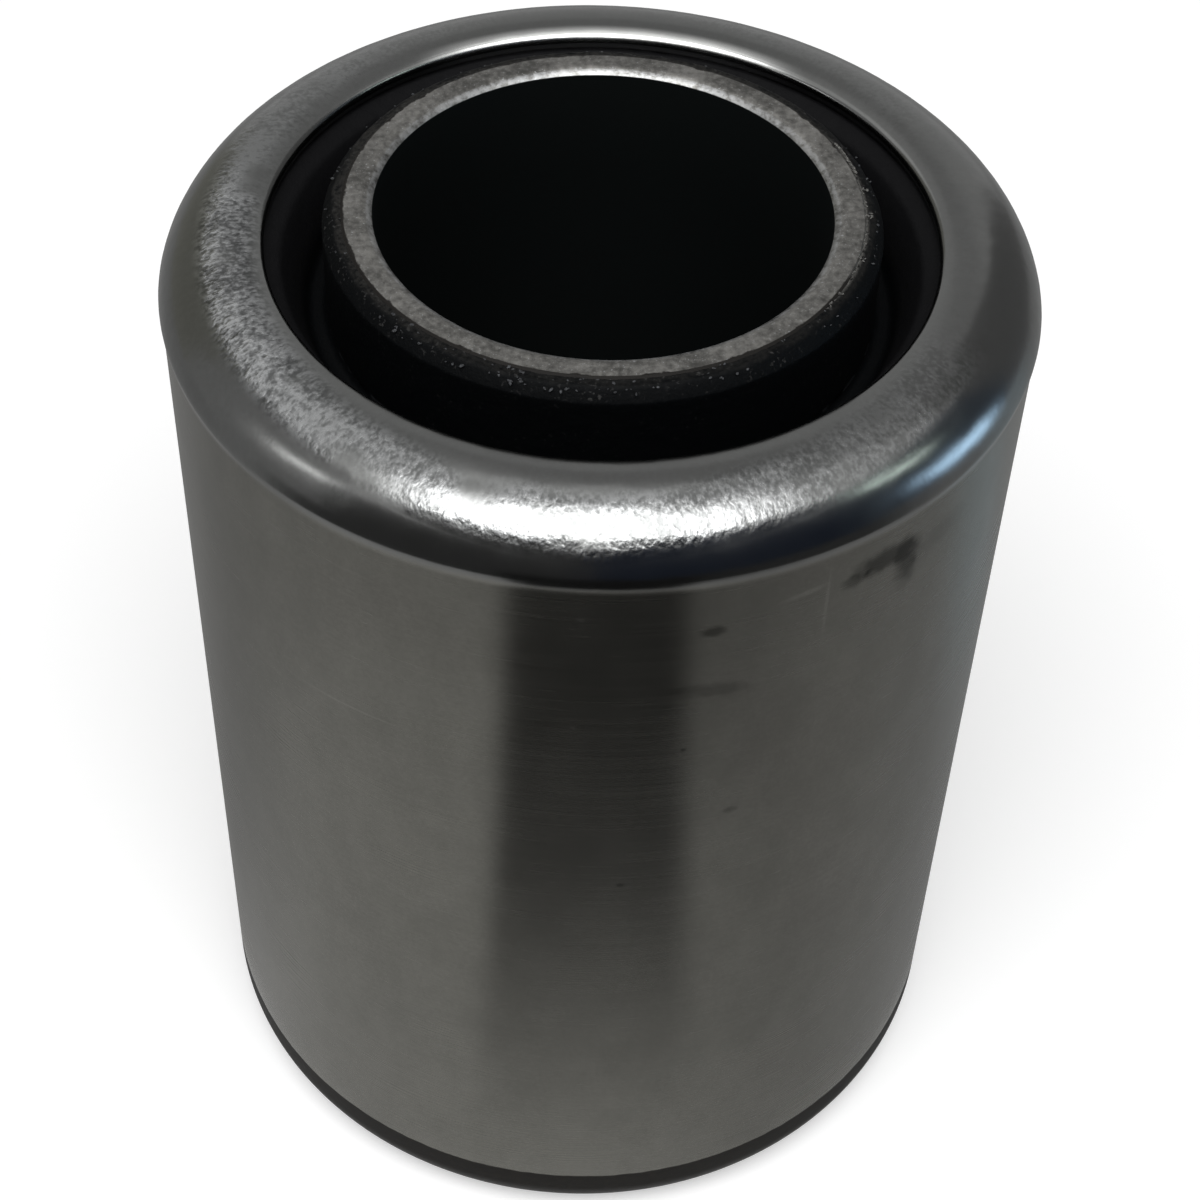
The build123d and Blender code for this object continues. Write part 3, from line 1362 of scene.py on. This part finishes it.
@dataclass(frozen=True)
class Lamp:
    """A round or oblong softbox that faces the bush: degrees, metres and radiance."""

    name: str
    azimuth: float
    elevation: float
    distance: float
    width: float
    height: float
    radiance: float
    colour: Colour = (1.0, 1.0, 1.0)

    def hang(self, target: Vector) -> None:
        """Put the lamp in the scene.

        Args:
            target: The point that it faces.
        """
        data = bpy.data.lights.new(self.name, "AREA")
        data.shape = "ELLIPSE"
        data.size, data.size_y = self.width, self.height
        area = math.pi * self.width * self.height / 4
        data.energy = self.radiance * area * 4.0
        data.color = self.colour
        lamp = bpy.data.objects.new(self.name, data)
        towards = direction(self.azimuth, self.elevation)
        lamp.location = target + towards * self.distance
        lamp.rotation_euler = towards.to_track_quat("Z", "Y").to_euler()
        bpy.context.scene.collection.objects.link(lamp)


def direction(azimuth: float, elevation: float) -> Vector:
    """The unit vector at an azimuth from +X and an elevation, both in degrees."""
    a, e = math.radians(azimuth), math.radians(elevation)
    return Vector((math.cos(a) * math.cos(e), math.sin(a) * math.cos(e), math.sin(e)))


@dataclass(frozen=True)
class Screen:
    """A curved studio screen that only reflections see."""

    name: str
    from_azimuth: float
    to_azimuth: float
    from_elevation: float
    to_elevation: float
    distance: float
    radiance: float
    colour: Colour = (1.0, 1.0, 1.0)
    soft_edge: float = 8.0
    step: float = 6.0
    slope: float = 0.0

    def stand(self, target: Vector) -> None:
        """Put the screen in the scene.

        Args:
            target: The point that it curves about.
        """
        wide = max(1, math.ceil((self.to_azimuth - self.from_azimuth) / self.step))
        tall = max(1, math.ceil((self.to_elevation - self.from_elevation) / self.step))
        corners, faces = [], []
        for row in range(tall + 1):
            for column in range(wide + 1):
                azimuth = self.from_azimuth + (self.to_azimuth - self.from_azimuth) * column / wide
                elevation = self.from_elevation + (self.to_elevation - self.from_elevation) * row / tall
                elevation += self.slope * (azimuth - (self.from_azimuth + self.to_azimuth) / 2)
                corners.append(target + direction(azimuth, elevation) * self.distance)
        for row in range(tall):
            for column in range(wide):
                first = row * (wide + 1) + column
                faces.append((first, first + 1, first + wide + 2, first + wide + 1))
        mesh = bpy.data.meshes.new(self.name)
        mesh.from_pydata(corners, [], faces)
        mesh.materials.append(self._material(target))
        place_card(bpy.data.objects.new(self.name, mesh), Lit.REFLECTIONS)

    def _material(self, target: Vector) -> bpy.types.Material:
        """Plain light, which fades out towards the screen's edges if they are soft.

        Args:
            target: The point that the screen curves about.

        Returns:
            The light's material.
        """
        p = Paint(self.name)
        glow = p.field("ShaderNodeEmission", None, {"Color": (*self.colour, 1.0), "Strength": self.radiance})
        if not self.soft_edge:
            return p.finish(glow)
        x, y, z = (axis - centre / MM for axis, centre in zip((p.x, p.y, p.z), target))
        flat = (x * x + y * y) ** 0.5
        up = p.field("ShaderNodeMath", {"operation": "ARCTAN2"}, {0: z, 1: flat}) * math.degrees(1.0)
        middle = math.radians((self.from_azimuth + self.to_azimuth) / 2)
        along = x * math.cos(middle) + y * math.sin(middle)
        beside = y * math.cos(middle) - x * math.sin(middle)
        swing = p.field("ShaderNodeMath", {"operation": "ARCTAN2"}, {0: beside, 1: along}) * math.degrees(1.0)
        half = (self.to_azimuth - self.from_azimuth) / 2
        inside = abs(swing).rise(half, half - self.soft_edge)
        up = up - swing * self.slope
        above = up.rise(self.from_elevation, self.from_elevation + self.soft_edge)
        below = up.rise(self.to_elevation, self.to_elevation - self.soft_edge)
        clear = p.field("ShaderNodeBsdfTransparent")
        return p.finish(p.field("ShaderNodeMixShader", None, {0: inside * above * below, 1: clear, 2: glow}))


def place_card(card: bpy.types.Object, lit: Lit) -> None:
    """Put a stage object in the scene, for all rays or for reflections alone.

    Args:
        card: The object.
        lit: Which rays meet it.
    """
    bpy.context.scene.collection.objects.link(card)
    if lit is Lit.REFLECTIONS:
        for material in card.data.materials:
            material.cycles.emission_sampling = "NONE"
        card.visible_camera = False
        card.visible_diffuse = False
        card.visible_shadow = False
        card.visible_transmission = False
        card.visible_volume_scatter = False
    card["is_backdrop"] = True


@dataclass(frozen=True)
class FloorCard:
    """Card laid on the floor round the bush and seen only in its reflections.

    It is light at the sides, with a dark strip that runs away to the front and the light of a window
    behind on the right. Angles are in degrees from straight ahead, positive to the right, and reaches
    are in millimetres from the axis.
    """

    name: str = "floor_card"
    inner: float = 0.031
    outer: float = 0.64
    lift: float = 0.0004
    steps: int = 144
    left: float = 0.52
    right: float = 0.36
    behind: float = 0.30
    far: float = 0.07
    dark: float = 0.020
    window: Colour = (0.35, 0.39, 0.41)
    sides_meet: Point = (5.0, 45.0)
    behind_side: Point = (58.0, 104.0)
    window_side: Point = (92.0, 103.0)
    window_end: Point = (124.0, 114.0)
    window_reach: Point = (55.0, 90.0)
    strip_reach: Point = (36.0, 71.0)
    strip_left: Point = (-22.5, -16.0)
    strip_right: Point = (30.0, 19.0)
    tail_reach: Point = (60.0, 84.0)
    tail_side: Point = (62.0, 14.0)
    tail_share: float = 0.55
    far_reach: Point = (100.0, 135.0)
    far_side: Point = (88.0, 62.0)

    def lay(self) -> None:
        """Put the card in the scene."""
        corners, faces = [], []
        for i in range(self.steps):
            for radius in (self.inner, self.outer):
                flat = direction(360.0 * i / self.steps, 0.0) * radius
                corners.append((flat.x, flat.y, self.lift))
        for i in range(self.steps):
            here, ahead = 2 * i, 2 * ((i + 1) % self.steps)
            faces.append((here, here + 1, ahead + 1, ahead))
        mesh = bpy.data.meshes.new(self.name)
        mesh.from_pydata(corners, [], faces)
        mesh.materials.append(self._material())
        place_card(bpy.data.objects.new(self.name, mesh), Lit.REFLECTIONS)

    def _material(self) -> bpy.types.Material:
        """Greys that change with the angle from straight ahead and with the reach.

        Returns:
            The card's material.
        """
        p = Paint(self.name)
        swing = p.field("ShaderNodeMath", {"operation": "ARCTAN2"}, {0: p.x, 1: p.y * -1.0})
        swing = swing * math.degrees(1.0)
        near = p.blend(swing.rise(*self.sides_meet), (self.left,) * 3, (self.right,) * 3)
        near = p.blend(abs(swing).rise(*self.behind_side), near, (self.behind,) * 3)
        window = swing.rise(*self.window_side) * swing.rise(*self.window_end)
        near = p.blend(window * p.radius.rise(*self.window_reach), near, self.window)
        beyond = p.radius.rise(*self.far_reach) * abs(swing).rise(*self.far_side)
        tail = swing.rise(*self.tail_side) * p.radius.rise(*self.tail_reach) * self.tail_share
        strip = swing.rise(*self.strip_left) * swing.rise(*self.strip_right).larger(tail)
        shade = p.blend(beyond, near, (self.far,) * 3)
        shade = p.blend(strip * p.radius.rise(*self.strip_reach), shade, (self.dark,) * 3)
        return p.finish(p.field("ShaderNodeEmission", None, {"Color": shade, "Strength": 1.0}))


@dataclass
class Studio:
    """Pale floor, white surroundings, soft lamps and the screens that the steel reflects."""

    floor_half: float = 3.0
    floor_colour: Colour = (0.78, 0.78, 0.78)
    floor_lift: float = 0.34
    floor_whitens: Point = (350.0, 1300.0)
    surroundings: float = 0.20
    target: Vector = field(default_factory=lambda: Vector((0.0, 0.0, 0.07)))
    lamps: tuple[Lamp, ...] = (
        Lamp("overhead_front", -95.0, 64.0, 1.0, 0.98, 0.54, 2.6),
        Lamp("overhead_middle", -94.0, 65.0, 1.1, 1.40, 0.86, 1.7),
        Lamp("overhead_wide", -92.0, 64.0, 1.3, 2.5, 1.2, 0.5),
    )
    screens: tuple[Screen, ...] = (
        Screen("room_front_left", -152.0, -90.0, -14.0, 29.0, 0.6, 0.065, soft_edge=0.0),
        Screen("room_front_right", -90.0, -28.0, -14.0, 35.0, 0.6, 0.040, (0.65, 0.85, 1.35), 0.0),
        Screen("room_left", 160.0, 208.0, -14.0, 44.0, 0.6, 0.36, soft_edge=0.0),
        Screen("room_left_back", 118.0, 160.0, -14.0, 32.0, 0.6, 0.27, (1.0, 0.99, 0.88), 0.0),
        Screen("room_back_left", 97.0, 118.0, -14.0, 74.0, 0.6, 0.50, soft_edge=0.0),
        Screen("room_back", 58.0, 97.0, -14.0, 36.0, 0.6, 0.48, soft_edge=0.0),
        Screen("room_back_high", 58.0, 97.0, 36.0, 74.0, 0.6, 0.36, soft_edge=0.0),
        Screen("room_right_back", 20.0, 58.0, -14.0, 45.0, 0.6, 0.17, soft_edge=0.0),
        Screen("room_right_high", 20.0, 58.0, 45.0, 70.0, 0.6, 0.42, soft_edge=0.0),
        Screen("room_right", -28.0, 20.0, -14.0, 38.0, 0.6, 0.10, (0.75, 0.92, 1.15), 0.0),
        Screen("left_streak", 188.0, 208.0, 18.0, 28.5, 0.45, 3.6, (1.0, 1.0, 1.0), 4.5, 4.0, 0.38),
        Screen("left_glow", 176.0, 216.0, 1.0, 34.0, 0.5, 0.55, soft_edge=13.0),
        Screen("left_back_high", 120.0, 166.0, 30.0, 58.0, 0.45, 0.9),
        Screen("overhead_back", 40.0, 140.0, 62.0, 86.0, 0.5, 1.15, soft_edge=7.0),
        Screen("right_window", -20.0, 13.0, -8.0, 13.0, 0.18, 4.6, (0.52, 0.75, 1.0), 10.5, 4.0, -0.35),
        Screen("right_bar", -23.0, -1.0, 25.5, 34.5, 0.45, 3.6, (0.85, 1.0, 0.93), 3.5, 4.0, -0.22),
    )

    def build(self) -> None:
        """Make the floor, the world, the lamps and the screens."""
        self._floor()
        self._world()
        FloorCard().lay()
        for lamp in self.lamps:
            lamp.hang(self.target)
        for screen in self.screens:
            screen.stand(self.target)
        LOG.info("studio: %d lamps, %d screens", len(self.lamps), len(self.screens))

    def _seen(self, graph: Graph) -> Field:
        """1 for the rays that see the background: the camera's, reflections and what glass lets through."""
        rays = [graph.field("ShaderNodeLightPath", output=name)
                for name in ("Is Camera Ray", "Is Glossy Ray", "Is Transmission Ray")]
        return rays[0].larger(rays[1]).larger(rays[2])

    def _floor(self) -> None:
        """A large pale floor that keeps the bush's shadow."""
        half = self.floor_half
        mesh = bpy.data.meshes.new("floor")
        square = [(-half, -half, 0), (half, -half, 0), (half, half, 0), (-half, half, 0)]
        mesh.from_pydata(square, [], [(0, 1, 2, 3)])
        p = Paint("pale_floor")
        matt = p.field("ShaderNodeBsdfDiffuse", None, {"Color": (*self.floor_colour, 1.0)})
        seen = self._seen(p)
        lift = p.field("ShaderNodeEmission", None, {"Strength": seen * self.floor_lift})
        near = p.field("ShaderNodeAddShader", None, {0: matt, 1: lift})
        white = p.field("ShaderNodeEmission", None, {"Strength": 1.0})
        away = seen * p.radius.rise(*self.floor_whitens)
        mesh.materials.append(p.finish(p.field("ShaderNodeMixShader", None, {0: away, 1: near, 2: white})))
        place_card(bpy.data.objects.new("floor", mesh), Lit.EVERYTHING)

    def _world(self) -> None:
        """White to what looks at it, and a gentle light on everything else."""
        world = bpy.data.worlds.new("surroundings")
        world.use_nodes = True
        world.node_tree.nodes.clear()
        g = Graph(world.node_tree)
        dim = g.field("ShaderNodeBackground", None, {"Strength": self.surroundings})
        white = g.field("ShaderNodeBackground", None, {"Strength": 1.0})
        mixed = g.field("ShaderNodeMixShader", None, {0: self._seen(g), 1: dim, 2: white})
        g.node("ShaderNodeOutputWorld", None, {"Surface": mixed})
        bpy.context.scene.world = world


@dataclass(frozen=True)
class PhotoCamera:
    """The photograph's view: its place about the lip's crown and its turn, in metres and radians."""

    frame_px: float = 1200.0
    focal_px: float = 2478.9
    sensor_mm: float = 36.0
    crown_height: float = 0.0784
    distance: float = 0.16932
    elevation: float = 0.6568
    pan: float = 0.0042
    tilt: float = 0.1508
    roll: float = -0.03635
    near: float = 0.01
    far: float = 20.0

    def stand(self) -> None:
        """Make the camera and give it to the scene."""
        offset = Vector((0.0, -math.cos(self.elevation), math.sin(self.elevation))) * self.distance
        forward = -offset.normalized()
        right = forward.cross(Vector((0.0, 0.0, 1.0))).normalized()
        up = right.cross(forward)
        facing = Matrix((right, up, -forward))
        turn = (Matrix.Rotation(self.roll, 3, "Z") @ Matrix.Rotation(self.tilt, 3, "X")
                @ Matrix.Rotation(self.pan, 3, "Y") @ facing)
        data = bpy.data.cameras.new("photo_camera")
        data.sensor_width = self.sensor_mm
        data.lens = self.focal_px * self.sensor_mm / self.frame_px
        data.clip_start, data.clip_end = self.near, self.far
        camera = bpy.data.objects.new("photo_camera", data)
        centre = Vector((0.0, 0.0, self.crown_height))
        camera.matrix_world = Matrix.Translation(centre + offset) @ turn.transposed().to_4x4()
        bpy.context.scene.collection.objects.link(camera)
        bpy.context.scene.camera = camera


def corners() -> list[list[float]]:
    """Lowest and highest corner of all that shows of the object."""
    return [list(corner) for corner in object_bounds()]


def main() -> None:
    """Build the bush, the studio and the camera."""
    logging.basicConfig(level=logging.INFO, format="%(message)s")
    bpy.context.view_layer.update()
    bpy.context.scene.view_settings.view_transform = "Standard"
    PhotoCamera().stand()
    lathe = LatheTree()
    shell = OuterShell()
    shell.build(lathe)
    InnerSleeve().build(lathe)
    RubberBody().build(lathe, shell)
    CollarLitter().build(ScatterTree())
    Studio().build()


if __name__ == "__main__":
    main()
